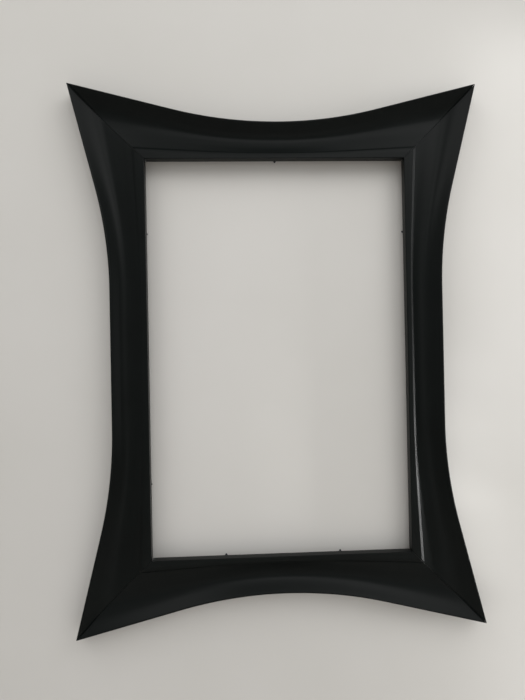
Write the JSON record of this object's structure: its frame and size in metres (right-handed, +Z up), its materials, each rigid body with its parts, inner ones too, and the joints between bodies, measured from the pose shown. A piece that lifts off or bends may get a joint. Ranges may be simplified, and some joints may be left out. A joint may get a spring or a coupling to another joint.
{
  "type": "picture frame",
  "caption": "Empty upright wall frame of wide black mitred rails whose outer edges curve in between pointed corners, with flexible tabs in the rebate and a sawtooth hanger.",
  "frame": {"origin": "in the plane of the rails' backs, under the middle notch of the sawtooth hanger, where the wall nail carries the frame", "axes": "+Z up, +X to the right as seen from the front, +Y from the front towards the wall"},
  "size_m": [0.595, 0.0347, 0.795],
  "materials": {
    "black_lacquer": "satin black lacquer, sprayed over wood",
    "bright_steel": "bright steel",
    "dark_steel": "blued strip steel",
    "brass_plate": "brass plate on pressed steel"
  },
  "bodies": {
    "root": {"rail_top": "black_lacquer", "rail_right": "black_lacquer", "rail_bottom": "black_lacquer", "rail_left": "black_lacquer", "v_nail_top_right_inner": "bright_steel", "v_nail_top_right_middle": "bright_steel", "v_nail_top_right_outer": "bright_steel", "v_nail_bottom_right_inner": "bright_steel", "v_nail_bottom_right_middle": "bright_steel", "v_nail_bottom_right_outer": "bright_steel", "v_nail_bottom_left_inner": "bright_steel", "v_nail_bottom_left_middle": "bright_steel", "v_nail_bottom_left_outer": "bright_steel", "v_nail_top_left_inner": "bright_steel", "v_nail_top_left_middle": "bright_steel", "v_nail_top_left_outer": "bright_steel", "flex_tab_root_top": "dark_steel", "flex_tab_root_right_upper": "dark_steel", "flex_tab_root_bottom_right": "dark_steel", "flex_tab_root_bottom_left": "dark_steel", "flex_tab_root_left_lower": "dark_steel", "flex_tab_root_left_upper": "dark_steel", "sawtooth_hanger": "brass_plate", "hanger_brad_left": "bright_steel", "hanger_brad_right": "bright_steel"},
    "tab_top": {"flex_tab_top": "dark_steel"},
    "tab_right_upper": {"flex_tab_right_upper": "dark_steel"},
    "tab_bottom_right": {"flex_tab_bottom_right": "dark_steel"},
    "tab_bottom_left": {"flex_tab_bottom_left": "dark_steel"},
    "tab_left_lower": {"flex_tab_left_lower": "dark_steel"},
    "tab_left_upper": {"flex_tab_left_upper": "dark_steel"}
  },
  "joints": [
    {"name": "tab_top_bend", "type": "hinge", "parent": "root", "child": "tab_top", "pos_m": [0, -0.00625, -0.0214], "axis": [1, 0, 0], "range_deg": [0, 85]},
    {"name": "tab_right_upper_bend", "type": "hinge", "parent": "root", "child": "tab_right_upper", "pos_m": [0.2006, -0.00625, -0.137], "axis": [0, 0, -1], "range_deg": [0, 85]},
    {"name": "tab_bottom_right_bend", "type": "hinge", "parent": "root", "child": "tab_bottom_right", "pos_m": [0.087, -0.00625, -0.6226], "axis": [-1, 0, 0], "range_deg": [0, 85]},
    {"name": "tab_bottom_left_bend", "type": "hinge", "parent": "root", "child": "tab_bottom_left", "pos_m": [-0.083, -0.00625, -0.6226], "axis": [-1, 0, 0], "range_deg": [0, 85]},
    {"name": "tab_left_lower_bend", "type": "hinge", "parent": "root", "child": "tab_left_lower", "pos_m": [-0.2006, -0.00625, -0.506], "axis": [0, 0, 1], "range_deg": [0, 85]},
    {"name": "tab_left_upper_bend", "type": "hinge", "parent": "root", "child": "tab_left_upper", "pos_m": [-0.2006, -0.00625, -0.137], "axis": [0, 0, 1], "range_deg": [0, 85]}
  ]
}
